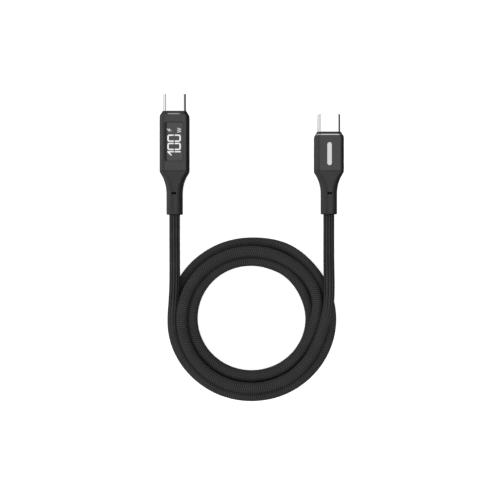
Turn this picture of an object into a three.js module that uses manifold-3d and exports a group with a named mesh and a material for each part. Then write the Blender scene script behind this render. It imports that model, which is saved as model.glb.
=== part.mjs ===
// USB-C charging cable with a power meter built into one of its plugs.
// Units are millimetres, +Z up. The row stands on z = 0: the meter plug lies flat with the
// centre of its underside at the origin and its tongue pointing along +Y. The cable leaves
// it along -Y, is wound into an oval coil of five and a half turns, and ends in a plain plug.
import * as THREE from "three";
import { mergeVertices } from "three/addons/utils/BufferGeometryUtils.js";
import Module from "manifold-3d";

// ---- driving dimensions ----
const PLUG_Z = 3.3; // height of both plugs' axes above the surface
const HOUSING_W = 10.73, HOUSING_H = 6.6, HOUSING_R = 2.05; // aluminium sleeve, outside
const WALL = 0.6, FRONT_WALL = 1.6;
const METER_HOUSING_L = 21.62, FAR_HOUSING_L = 14.12;
const METER_REAR_Y = -6.1, FAR_REAR_Y = -6.1; // where each housing meets its strain relief
const METER_RELIEF_L = 15.83, FAR_RELIEF_L = 15.68;
const FAR_X = 56.06;
const SHELL_W = 8.25, SHELL_H = 2.4, SHELL_WALL = 0.2; // USB Type-C tongue
const METER_SHELL_OUT = 6.41, FAR_SHELL_OUT = 6.56, SHELL_IN = 3.6;
const WINDOW_W = 6.6, WINDOW_Y0 = 3.4, WINDOW_L = 14.1, WINDOW_R = 0.7; // from the housing's rear
const BADGE_W = 1.72, BADGE_L = 8.3, BADGE_Y = 6.05, BADGE_DEPTH = 0.25;
const SLEEVE_D = 5.96, JACKET_D = 3.9;
const PIN_PITCH = 0.5, PIN_W = 0.25;
const COIL_X = 27.95, COIL_Y = -59.67, COIL_RX = 30.5, COIL_RATIO = 0.963;

// Centrelines of the two straight ends of the cable, from the coil's side of each sleeve.
const TAIL_A = [
  [0, -22.23, 3.3], [0, -27, 3.3], [0, -32, 3.78], [0.01, -37, 4.78], [0.02, -40.5, 5.38], [0.02, -43.75, 5.74],
];
const TAIL_B = [
  [56.06, -22.08, 3.3], [56.06, -25.5, 3.3], [56.06, -29, 3.48], [56.06, -33, 4.72], [56.06, -37, 6.72],
  [56.07, -41, 8.5], [56.11, -45, 9.52], [56.17, -49, 9.9], [56.2, -53, 9.92], [56.02, -57, 9.78],
];

const wasm = await Module();
wasm.setup();

// ---- helpers ----
function solid(geometry) {
  const g = geometry.clone();
  for (const name of Object.keys(g.attributes)) if (name !== "position") g.deleteAttribute(name);
  const m = mergeVertices(g, 1e-5);
  return new wasm.Manifold(
    new wasm.Mesh({
      numProp: 3,
      vertProperties: new Float32Array(m.attributes.position.array),
      triVerts: new Uint32Array(m.index.array),
    }),
  );
}

function geometryOf(manifold) {
  const m = manifold.getMesh(), v = new Float32Array(m.numVert * 3);
  for (let i = 0; i < m.numVert; i++)
    v.set(m.vertProperties.subarray(i * m.numProp, i * m.numProp + 3), i * 3);
  const g = new THREE.BufferGeometry();
  g.setAttribute("position", new THREE.BufferAttribute(v, 3));
  g.setIndex(new THREE.BufferAttribute(new Uint32Array(m.triVerts), 1));
  g.computeVertexNormals();
  return g;
}

const cut = (a, ...others) => geometryOf(others.reduce((s, o) => s.subtract(solid(o)), solid(a)));
const join = (a, ...others) => geometryOf(others.reduce((s, o) => s.add(solid(o)), solid(a)));

// Outline of a rectangle with round corners, counter-clockwise, k steps per corner.
function rounded(w, h, r, k = 5) {
  const out = [], rr = Math.min(r, w / 2 - 0.01, h / 2 - 0.01);
  for (const [sx, sy, a0] of [[1, 1, 0], [-1, 1, 90], [-1, -1, 180], [1, -1, 270]])
    for (let i = 0; i <= k; i++) {
      const a = THREE.MathUtils.degToRad(a0 + (90 * i) / k);
      out.push(new THREE.Vector2(sx * (w / 2 - rr) + rr * Math.cos(a), sy * (h / 2 - rr) + rr * Math.sin(a)));
    }
  return out;
}
const pts = (list) => list.map(([x, y]) => new THREE.Vector2(x, y));

// A flat outline in X and Y, raised from z0 to z1.
function raised(points, z0, z1) {
  return new THREE.ExtrudeGeometry(new THREE.Shape(points), { depth: z1 - z0, bevelEnabled: false }).translate(0, 0, z0);
}
// A section in X and Z, run from y0 to y1.
function run(points, y0, y1, hole) {
  const shape = new THREE.Shape(points);
  if (hole) shape.holes.push(new THREE.Path(hole));
  return new THREE.ExtrudeGeometry(shape, { depth: y1 - y0, bevelEnabled: false }).rotateX(Math.PI / 2).translate(0, y1, 0);
}
// A skin through sections of equal point count, each [y, outline in X and Z], closed at both ends.
function loft(sections) {
  const n = sections[0][1].length, v = [], f = [];
  for (const [y, outline] of sections) for (const p of outline) v.push(p.x, y, p.y);
  for (let s = 0; s + 1 < sections.length; s++)
    for (let i = 0; i < n; i++) {
      const a = s * n + i, b = s * n + ((i + 1) % n);
      f.push(a, a + n, b, b, a + n, b + n);
    }
  for (let i = 1; i + 1 < n; i++) {
    f.push(0, i, i + 1);
    const e = (sections.length - 1) * n;
    f.push(e, e + i + 1, e + i);
  }
  const g = new THREE.BufferGeometry();
  g.setAttribute("position", new THREE.BufferAttribute(new Float32Array(v), 3));
  const turned = sections[1][0] < sections[0][0];
  g.setIndex(turned ? f.map((_, i) => f[i - (i % 3) + [0, 2, 1][i % 3]]) : f);
  return g;
}
// A round cord of radius r through the points.
function cordOf(points, r, steps, sides = 8) {
  const path = new THREE.CatmullRomCurve3(points.map((p) => new THREE.Vector3(...p)), false, "centripetal");
  const ring = [];
  for (let i = 0; i < sides; i++) {
    const a = (2 * Math.PI * (i + 0.5)) / sides;
    ring.push(new THREE.Vector2(r * Math.cos(a), r * Math.sin(a)));
  }
  return new THREE.ExtrudeGeometry(new THREE.Shape(ring), { steps, extrudePath: path, bevelEnabled: false });
}
// A tube or rod of round section along Y, as a lathed profile of [radius, y] pairs that closes on itself.
function turnedY(profile, segments = 16) {
  return new THREE.LatheGeometry(pts([...profile, profile[0]]), segments);
}
const box = (x0, x1, y0, y1, z0, z1) =>
  new THREE.BoxGeometry(x1 - x0, y1 - y0, z1 - z0).translate((x0 + x1) / 2, (y0 + y1) / 2, (z0 + z1) / 2);

const MATERIALS = {
  anthracite_metal: [0x3d3d3f, 0.45, 0.7],
  black_tpe: [0x2e2e2f, 0.75, 0],
  braid: [0x2b2b2c, 0.85, 0],
  shell_steel: [0xdfe1e4, 0.12, 1],
  spring_steel: [0xb9bcc0, 0.3, 1],
  black_plastic: [0x18181a, 0.5, 0],
  natural_plastic: [0xd9d5c8, 0.55, 0],
  contact_gold: [0xd8b45a, 0.25, 1],
  board_green: [0x1e5a38, 0.5, 0],
  chip_black: [0x151517, 0.4, 0],
  ceramic_tan: [0xb49a72, 0.5, 0],
  display_black: [0x101012, 0.35, 0],
  lens_smoke: [0x2a2a2c, 0.08, 0],
  badge_silver: [0xc9cacc, 0.3, 1],
  crimp_copper: [0xc8a27a, 0.35, 1],
  wire_red: [0xa8231f, 0.5, 0],
  wire_black: [0x1c1c1e, 0.5, 0],
  wire_blue: [0x2c4f9e, 0.5, 0],
  wire_green: [0x2d7a3c, 0.5, 0],
  wire_white: [0xe8e6e0, 0.5, 0],
};
function piece(name, geometry, material) {
  const [color, roughness, metalness] = MATERIALS[material];
  const mesh = new THREE.Mesh(geometry, new THREE.MeshStandardMaterial({ color, roughness, metalness }));
  mesh.name = name;
  return mesh;
}

// ---- one plug, in its own frame: y = 0 where the housing meets the strain relief, z = 0 on the axis ----
function makePlug(prefix, { front, shellOut, reliefLength, meter }) {
  const plug = new THREE.Group();
  const add = (name, geometry, material) => plug.add(piece(`${prefix}_${name}`, geometry, material));

  // Tongue: drawn steel tube, insulator inside it, two rows of contacts and the side latches.
  add(
    "plug_shell",
    run(rounded(SHELL_W, SHELL_H, SHELL_H / 2, 6), front - SHELL_IN, front + shellOut,
      rounded(SHELL_W - 2 * SHELL_WALL, SHELL_H - 2 * SHELL_WALL, SHELL_H / 2 - SHELL_WALL, 6)),
    "shell_steel",
  );
  add(
    "contact_carrier",
    run(rounded(7.75, 1.9, 0.95, 5), front - 3.0, front + shellOut - 0.3, rounded(7.0, 1.2, 0.25, 2)),
    "black_plastic",
  );
  const comb = (pins, z0, z1) => {
    const y0 = front - 4.6, y1 = front - 4.2, y2 = front + shellOut - 1.0, out = [[-2.9, y0], [2.9, y0], [2.9, y1]];
    for (const p of [...pins].reverse()) {
      const x = p * PIN_PITCH;
      out.push([x + PIN_W / 2, y1], [x + PIN_W / 2, y2], [x - PIN_W / 2, y2], [x - PIN_W / 2, y1]);
    }
    out.push([-2.9, y1]);
    return raised(pts(out), z0, z1);
  };
  add("contacts_upper", comb([-5.5, -2.5, -1.5, -0.5, 0.5, 2.5, 5.5], 0.42, 0.57), "contact_gold");
  add("contacts_lower", comb([-5.5, -2.5, 1.5, 2.5, 5.5], -0.57, -0.42), "contact_gold");
  const latch = (side) => {
    const y = front - 2.5, t = front + shellOut - 0.9;
    const outline = [[3.22, y], [3.4, y], [3.4, t - 0.2], [3.28, t], [3.0, t - 0.7], [3.0, t - 1.1], [3.22, t - 1.6]];
    const placed = outline.map(([px, py]) => [side * px, py]);
    return raised(pts(side > 0 ? placed : placed.reverse()), -0.3, 0.3);
  };
  add("latch_left", latch(-1), "spring_steel");
  add("latch_right", latch(1), "spring_steel");
  add("front_insert", run(rounded(9.4, 5.3, 1.7, 4), front - 3.55, front - FRONT_WALL - 0.1, rounded(8.35, 2.5, 1.25, 5)), "black_plastic");

  // Boards and parts.
  const step = front - 3.9;
  add(
    "paddle_board",
    raised(pts([[-3.8, 1.8], [3.8, 1.8], [3.8, step], [3.1, step], [3.1, front - 1.0], [-3.1, front - 1.0], [-3.1, step], [-3.8, step]]), -0.4, 0.4),
    "board_green",
  );
  add("emarker_chip", box(-1.0, 1.0, front - 8.5, front - 6.5, -1.14, -0.42), "chip_black");
  const frameEnd = front - 3.75;
  add(
    "inner_frame",
    run(pts([
      [3.0, -2.6], [4.65, -1.0], [4.65, 1.2], [4.35, 1.9], [4.05, 1.9], [4.05, 1.0], [3.95, 1.0], [3.95, -0.45], [3.3, -0.45], [3.3, -1.9],
      [-3.3, -1.9], [-3.3, -0.45], [-3.95, -0.45], [-3.95, 1.0], [-4.05, 1.0], [-4.05, 1.9], [-4.35, 1.9], [-4.65, 1.2], [-4.65, -1.0], [-3.0, -2.6],
    ]), 0.8, frameEnd),
    "natural_plastic",
  );

  // Housing: one aluminium sleeve with a bevelled nose, open at the rear.
  const outer = loft([
    [0, rounded(HOUSING_W, HOUSING_H, HOUSING_R)],
    [front - 2.4, rounded(HOUSING_W, HOUSING_H, HOUSING_R)],
    [front - 1.52, rounded(HOUSING_W - 0.27, HOUSING_H, HOUSING_R)],
    [front - 0.92, rounded(HOUSING_W - 1.03, HOUSING_H - 0.5, HOUSING_R - 0.1)],
    [front - 0.38, rounded(HOUSING_W - 1.6, HOUSING_H - 1.15, HOUSING_R - 0.3)],
    [front, rounded(HOUSING_W - 1.87, HOUSING_H - 1.8, HOUSING_R - 0.45)],
  ]);
  const hollow = run(rounded(HOUSING_W - 2 * WALL, HOUSING_H - 2 * WALL, HOUSING_R - WALL * 0.6), -1, front - FRONT_WALL);
  const mouth = run(rounded(SHELL_W + 0.4, SHELL_H + 0.4, SHELL_H / 2 + 0.2, 6), front - 3, front + 1);
  if (meter) {
    const windowHole = raised(rounded(WINDOW_W, WINDOW_L, WINDOW_R, 4), 2, 4).translate(0, WINDOW_Y0 + WINDOW_L / 2, 0);
    add("housing", cut(outer, hollow, mouth, windowHole), "anthracite_metal");
    const wy = WINDOW_Y0 + WINDOW_L / 2;
    add("board", box(-3.9, 3.9, 2.6, 17.7, 1.05, 1.65), "board_green");
    add("led_display", raised(rounded(6.3, 13.8, 0.3, 2), 1.7, 2.25).translate(0, wy, 0), "display_black");
    add("display_lens", raised(rounded(WINDOW_W - 0.1, WINDOW_L - 0.1, WINDOW_R - 0.05, 4), 2.3, 2.95).translate(0, wy, 0), "lens_smoke");
    add("controller_chip", box(-1.5, 1.5, 7.0, 10.0, 0.46, 1.0), "chip_black");
    add("shunt_resistor", box(-2.6, 0.6, 11.6, 13.2, 0.43, 0.98), "ceramic_tan");
    add("capacitor_left", box(2.3, 2.8, 7.4, 8.4, 0.48, 1.0), "ceramic_tan");
    add("capacitor_right", box(2.3, 2.8, 9.2, 10.2, 0.48, 1.0), "ceramic_tan");
    add("board_header", box(-2.0, 2.0, 15.4, 16.4, 0.43, 1.0), "chip_black");
  } else {
    const recess = raised(rounded(BADGE_W + 0.1, BADGE_L + 0.1, BADGE_W / 2 + 0.05, 5), HOUSING_H / 2 - BADGE_DEPTH, 4).translate(0, BADGE_Y, 0);
    add("housing", cut(outer, hollow, mouth, recess), "anthracite_metal");
    add("badge", raised(rounded(BADGE_W, BADGE_L, BADGE_W / 2, 5), HOUSING_H / 2 - BADGE_DEPTH + 0.02, HOUSING_H / 2 + 0.02).translate(0, BADGE_Y, 0), "badge_silver");
  }

  // Strain relief: moulded boot that flares from the round sleeve to the housing's section.
  const share = [
    [0, 10.73], [-0.25, 10.73], [-1.1, 9.85], [-2.2, 8.65], [-3.3, 7.72], [-4.4, 7.0], [-5.5, 6.48], [-6.6, 6.15], [-7.6, 6.0], [-9, SLEEVE_D],
  ];
  const boot = [...share.map(([y, w]) => {
    const s = (w - SLEEVE_D) / (HOUSING_W - SLEEVE_D);
    return [y, rounded(w, SLEEVE_D + (HOUSING_H - SLEEVE_D) * s, THREE.MathUtils.lerp(SLEEVE_D / 2 - 0.01, HOUSING_R, s))];
  }), [-reliefLength, rounded(SLEEVE_D, SLEEVE_D, SLEEVE_D / 2 - 0.01)]];
  const spigot = run(rounded(9.4, 5.25, 1.6), -0.6, 0.7);
  const bore = turnedY([[0, -reliefLength - 1], [JACKET_D / 2 + 0.06, -reliefLength - 1], [JACKET_D / 2 + 0.06, -5.9], [2.7, -5.9], [2.7, 2], [0, 2]], 24);
  const slots = [];
  for (const side of [1, -1])
    for (const x of [-0.5, 0.5])
      slots.push(box(x - 0.42, x + 0.42, -8.6, -7.7, side > 0 ? 2.4 : -4, side > 0 ? 4 : -2.4));
  add("strain_relief", cut(join(loft(boot), spigot), bore, ...slots), "black_tpe");
  add("crimp_ring", turnedY([[JACKET_D / 2 + 0.05, -5.4], [2.6, -5.4], [2.6, -3.2], [JACKET_D / 2 + 0.05, -3.2]], 20), "crimp_copper");
  add("cable_end", new THREE.CylinderGeometry(JACKET_D / 2, JACKET_D / 2, reliefLength - 3.0, 16).translate(0, -(reliefLength + 3.0) / 2, 0), "braid");

  // Cores, from the cut end of the jacket to the pads at the board's rear edge.
  const core = (name, r, a, b, material) =>
    add(name, cordOf([[a[0], -2.9, a[1]], [(2 * a[0] + b[0]) / 3, -1.6, (2 * a[1] + b[1]) / 3], [(a[0] + 3 * b[0]) / 4, 0.4, (a[1] + 3 * b[1]) / 4], [b[0], 2.2, b[1]], [b[0], 4.2, b[1]]], r, 8), material);
  core("wire_vbus", 0.45, [-0.9, -0.3], [-2.0, -0.9], "wire_red");
  core("wire_ground", 0.45, [0.9, -0.3], [2.0, -0.9], "wire_black");
  core("wire_cc", 0.24, [0, 1.2], [0, 0.68], "wire_blue");
  core("wire_data_plus", 0.24, [-0.75, 0.7], [-1.2, 0.68], "wire_green");
  core("wire_data_minus", 0.24, [0.75, 0.7], [1.2, 0.68], "wire_white");
  return plug;
}

// ---- assembly ----
const part = new THREE.Group();
part.name = "usb_c_meter_cable";

const meterPlug = makePlug("meter", { front: METER_HOUSING_L, shellOut: METER_SHELL_OUT, reliefLength: METER_RELIEF_L, meter: true });
meterPlug.position.set(0, METER_REAR_Y, PLUG_Z);
part.add(meterPlug);

const farPlug = makePlug("far", { front: FAR_HOUSING_L, shellOut: FAR_SHELL_OUT, reliefLength: FAR_RELIEF_L, meter: false });
farPlug.position.set(FAR_X, FAR_REAR_Y, PLUG_Z);
part.add(farPlug);

// The free cable: two ends and the coil's outer shape, an oval ring whose section steps up to the middle strand.
part.add(piece("cable_tail_meter", cordOf(TAIL_A, JACKET_D / 2, 8), "braid"));
part.add(piece("cable_tail_far", cordOf(TAIL_B, JACKET_D / 2, 14), "braid"));
const section = [
  [20.6, 0], [29.6, 0], [COIL_RX, 1.0], [COIL_RX, 6.5], [29.7, 7.4], [26.5, 7.45], [25.8, 8.9], [24.9, 9.7], [23.6, 9.6], [22.5, 7.9], [20.5, 7.75], [19.65, 6.8], [19.65, 1.0],
];
const coil = piece("cable_coil", new THREE.LatheGeometry(pts([...section, section[0]]), 56).rotateX(Math.PI / 2), "braid");
coil.position.set(COIL_X, COIL_Y, 0);
coil.scale.set(1, COIL_RATIO, 1);
part.add(coil);

export default part;
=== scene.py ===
"""USB-C charging cable with a power meter in one plug: looks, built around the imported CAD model.

Lengths are written in millimetres and turned into metres when a mesh is made. The row stands on z = 0,
the meter plug's tongue points along +Y, and both plugs' axes lie PLUG_Z above the surface.
"""

import math

import bpy
import numpy as np
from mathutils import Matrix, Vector


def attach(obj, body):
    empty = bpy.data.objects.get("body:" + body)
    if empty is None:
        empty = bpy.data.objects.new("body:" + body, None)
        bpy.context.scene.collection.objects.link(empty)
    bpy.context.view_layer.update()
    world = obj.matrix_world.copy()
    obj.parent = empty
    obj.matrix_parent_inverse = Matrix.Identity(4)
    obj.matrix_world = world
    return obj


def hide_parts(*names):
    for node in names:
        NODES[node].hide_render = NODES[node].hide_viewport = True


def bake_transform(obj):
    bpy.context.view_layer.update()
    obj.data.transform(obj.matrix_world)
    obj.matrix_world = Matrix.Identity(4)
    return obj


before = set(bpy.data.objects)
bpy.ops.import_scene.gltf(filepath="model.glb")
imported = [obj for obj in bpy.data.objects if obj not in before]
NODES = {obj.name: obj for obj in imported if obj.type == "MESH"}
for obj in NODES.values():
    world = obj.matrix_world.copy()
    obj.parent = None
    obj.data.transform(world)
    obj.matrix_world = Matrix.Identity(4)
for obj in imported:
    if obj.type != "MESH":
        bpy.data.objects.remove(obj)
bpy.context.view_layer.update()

MM = 0.001
PLUG_Z = 3.3
REAR_Y = -6.1
FAR_X = 56.06
HOUSING_W, HOUSING_H, HOUSING_R = 10.73, 6.6, 2.05
WALL, FRONT_WALL = 0.6, 1.6
SHELL_W, SHELL_H, SHELL_WALL, SHELL_IN = 8.25, 2.4, 0.2, 3.6
SLEEVE_D, JACKET_D = 5.96, 3.9
METER = {"x": 0.0, "front": 21.62, "out": 6.41, "relief": 15.83, "prefix": "meter"}
FAR = {"x": FAR_X, "front": 14.12, "out": 6.56, "relief": 15.68, "prefix": "far"}

# ---------------------------------------------------------------- camera
cam = bpy.data.objects.new("camera", bpy.data.cameras.new("camera"))
bpy.context.scene.collection.objects.link(cam)
cam.data.sensor_width = 36.0
cam.data.lens = 36.0 * 340.0 / (500 / 2.75)
cam.data.clip_start, cam.data.clip_end = 0.01, 20.0
cam.location = (27.4 * MM, -34.76 * MM, (PLUG_Z + 340.0) * MM)
cam.rotation_euler = (0.0, 0.0, 0.0)
bpy.context.scene.camera = cam


# ---------------------------------------------------------------- mesh helpers
def obj_from(name, verts, faces, smooth=True, sharp_deg=14.0):
    """A mesh object from points in millimetres."""
    me = bpy.data.meshes.new(name)
    me.from_pydata([tuple(float(c) * MM for c in v) for v in verts], [], [tuple(f) for f in faces])
    me.validate()
    me.update()
    o = bpy.data.objects.new(name, me)
    bpy.context.scene.collection.objects.link(o)
    if smooth:
        me.polygons.foreach_set("use_smooth", [True] * len(me.polygons))
        me.set_sharp_from_angle(angle=math.radians(sharp_deg))
    return o


def outline(w, h, r, k=10, extra=()):
    """Round-cornered rectangle, counter-clockwise in (x, z), with points close to each corner's ends so that the
    flats shade flat. extra are x places that get a point on the top and the bottom."""
    r = min(r, w / 2 - 0.012, h / 2 - 0.012)
    out = []
    corners = [(1, 1, 0), (-1, 1, 90), (-1, -1, 180), (1, -1, 270)]
    flats = [w - 2 * r, h - 2 * r, w - 2 * r, h - 2 * r]
    for n, (sx, sz, a0) in enumerate(corners):
        cx, cz = sx * (w / 2 - r), sz * (h / 2 - r)
        for i in range(k + 1):
            a = math.radians(a0 + 90.0 * i / k)
            out.append((cx + r * math.cos(a), cz + r * math.sin(a)))
        length = flats[n]
        step = min(0.07, length / 3)
        end_a = math.radians(a0 + 90)
        ex, ez = cx + r * math.cos(end_a), cz + r * math.sin(end_a)
        dx, dz = [(-1, 0), (0, -1), (1, 0), (0, 1)][n]
        out.append((ex + dx * step, ez + dz * step))
        if dx and extra:
            for x in sorted(extra, reverse=dx < 0):
                out.append((x, ez))
        out.append((ex + dx * (length - step), ez + dz * (length - step)))
    return out


def loft_rings(rings, closed=False, cap=True):
    """Faces of a skin through rings of equal point count. closed joins the last ring to the first."""
    n = len(rings[0])
    verts = [p for ring in rings for p in ring]
    faces = []
    count = len(rings)
    for s in range(count if closed else count - 1):
        t = (s + 1) % count
        for i in range(n):
            j = (i + 1) % n
            faces.append((s * n + i, t * n + i, t * n + j, s * n + j))
    if not closed and cap:
        faces.append(tuple(range(n)))
        faces.append(tuple(reversed(range((count - 1) * n, count * n))))
    return verts, faces


def face_out(o):
    """Turns the faces of a closed mesh outwards."""
    import bmesh

    bm = bmesh.new()
    bm.from_mesh(o.data)
    bmesh.ops.recalc_face_normals(bm, faces=bm.faces)
    if bm.calc_volume(signed=True) < 0:
        bmesh.ops.reverse_faces(bm, faces=bm.faces)
    bm.to_mesh(o.data)
    bm.free()
    return o


def plug_ring(plug, y, pts):
    """An (x, z) outline placed at y of a plug's own frame."""
    return [(plug["x"] + x, REAR_Y + y, PLUG_Z + z) for x, z in pts]


def along_y(name, plug, sections, **kw):
    verts, faces = loft_rings([plug_ring(plug, y, pts) for y, pts in sections], **{k: v for k, v in kw.items() if k == "closed"})
    return face_out(obj_from(name, verts, faces, sharp_deg=kw.get("sharp_deg", 14.0)))


def along_z(name, x0, y0, sections, sharp_deg=14.0):
    """A stack of outlines in X and Y, each (z, outline), about (x0, y0)."""
    verts, faces = loft_rings([[(x0 + x, y0 + y, z) for x, y in pts] for z, pts in sections])
    return face_out(obj_from(name, verts, faces, sharp_deg=sharp_deg))


def carve(o, *cutters, op="DIFFERENCE", sharp_deg=14.0):
    """Cuts the cutters out of o for good, and removes them."""
    for c in cutters:
        m = o.modifiers.new("cut", "BOOLEAN")
        m.operation, m.solver, m.object = op, "EXACT", c
    bpy.context.view_layer.update()
    dg = bpy.context.evaluated_depsgraph_get()
    made = bpy.data.meshes.new_from_object(o.evaluated_get(dg))
    o.modifiers.clear()
    old, o.data = o.data, made
    made.name = o.name
    bpy.data.meshes.remove(old)
    for c in cutters:
        bpy.data.objects.remove(c)
    made.polygons.foreach_set("use_smooth", [True] * len(made.polygons))
    made.set_sharp_from_angle(angle=math.radians(sharp_deg))
    return o


# ---------------------------------------------------------------- material helpers
class Mat:
    """A node material being made; every value that is the same all over is set on the shader itself."""

    def __init__(self, name, **sockets):
        self.m = bpy.data.materials.new(name)
        self.m.use_nodes = True
        self.t = self.m.node_tree
        self.b = self.t.nodes["Principled BSDF"]
        for key, value in sockets.items():
            self.b.inputs[key.replace("_", " ")].default_value = value

    def node(self, kind, **props):
        n = self.t.nodes.new(kind)
        for k, v in props.items():
            setattr(n, k, v)
        return n

    def link(self, a, b):
        self.t.links.new(a, b)

    def put(self, socket, value):
        if isinstance(value, bpy.types.NodeSocket):
            self.link(value, socket)
        else:
            socket.default_value = value

    def math(self, op, a, b=None, c=None, clamp=False):
        n = self.node("ShaderNodeMath", operation=op, use_clamp=clamp)
        for i, v in enumerate((a, b, c)):
            if v is not None:
                self.put(n.inputs[i], v)
        return n.outputs[0]

    def spread(self, value, lo, hi, a, b, smooth=False):
        n = self.node("ShaderNodeMapRange", interpolation_type="SMOOTHSTEP" if smooth else "LINEAR")
        self.put(n.inputs["Value"], value)
        for k, v in (("From Min", lo), ("From Max", hi), ("To Min", a), ("To Max", b)):
            self.put(n.inputs[k], v)
        return n.outputs[0]

    def coords(self, scale=(1, 1, 1)):
        c = self.node("ShaderNodeTexCoord")
        m = self.node("ShaderNodeMapping")
        m.inputs["Scale"].default_value = scale
        self.link(c.outputs["Object"], m.inputs["Vector"])
        return m.outputs[0]

    def noise(self, vec, scale, detail=2.0, rough=0.5):
        n = self.node("ShaderNodeTexNoise")
        self.link(vec, n.inputs["Vector"])
        n.inputs["Scale"].default_value = scale
        n.inputs["Detail"].default_value = detail
        n.inputs["Roughness"].default_value = rough
        return n.outputs["Fac"]

    def mix(self, fac, a, b):
        n = self.node("ShaderNodeMix", data_type="RGBA")
        self.put(n.inputs[0], fac)
        for i, v in ((6, a), (7, b)):
            if isinstance(v, bpy.types.NodeSocket):
                self.link(v, n.inputs[i])
            else:
                n.inputs[i].default_value = (*v, 1.0)
        return n.outputs[2]

    def bump(self, height, distance, strength=1.0):
        n = self.node("ShaderNodeBump")
        n.inputs["Strength"].default_value = strength
        n.inputs["Distance"].default_value = distance
        self.link(height, n.inputs["Height"])
        self.link(n.outputs[0], self.b.inputs["Normal"])
        return n

    def xyz(self, vec):
        n = self.node("ShaderNodeSeparateXYZ")
        self.link(vec, n.inputs[0])
        return n.outputs


def grey(v):
    return (v, v, v * 1.01)


def moulded(name, low, high, rough=(0.5, 0.65), spec=0.3, grain=0.25, depth=0.006, metallic=0.0):
    """Fine-grained moulded or blasted surface: colour, gloss and relief all vary at the grain's size in mm."""
    m = Mat(name, Metallic=metallic, Specular_IOR_Level=spec)
    v = m.coords()
    fine = m.noise(v, 1000 / grain, 2.0, 0.6)
    broad = m.noise(v, 1000 / (grain * 22), 2.0, 0.5)
    blend_ = m.math("ADD", m.math("MULTIPLY", fine, 0.65), m.math("MULTIPLY", broad, 0.35))
    m.link(m.mix(m.spread(blend_, 0.32, 0.68, 0.0, 1.0), low, high), m.b.inputs["Base Color"])
    m.link(m.spread(broad, 0.35, 0.65, rough[0], rough[1]), m.b.inputs["Roughness"])
    m.bump(fine, depth * MM)
    return m.m


def drawn(name, low, high, rough=(0.1, 0.2), streak=(1, 0.03, 1), pitch=0.05, depth=0.001, spec=0.5):
    """Drawn or brushed metal: streaks of uneven colour and gloss along one direction."""
    m = Mat(name, Metallic=1.0, Specular_IOR_Level=spec)
    v = m.coords(streak)
    s = m.noise(v, 1000 / pitch, 3.0, 0.6)
    w = m.noise(m.coords(), 1000 / 2.5, 2.0, 0.5)
    m.link(m.mix(m.spread(s, 0.3, 0.7, 0.0, 1.0), low, high), m.b.inputs["Base Color"])
    m.link(m.spread(m.math("ADD", m.math("MULTIPLY", s, 0.6), m.math("MULTIPLY", w, 0.4)), 0.35, 0.65, rough[0], rough[1]), m.b.inputs["Roughness"])
    m.bump(s, depth * MM)
    return m.m


def wear(o, *materials):
    """Gives o these materials in place of its own, and keeps each face's slot where there are enough of them."""
    index = np.zeros(len(o.data.polygons), np.int32)
    o.data.polygons.foreach_get("material_index", index)
    o.data.materials.clear()
    for m in materials:
        o.data.materials.append(m)
    o.data.polygons.foreach_set("material_index", np.minimum(index, len(materials) - 1))
    return o

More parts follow.
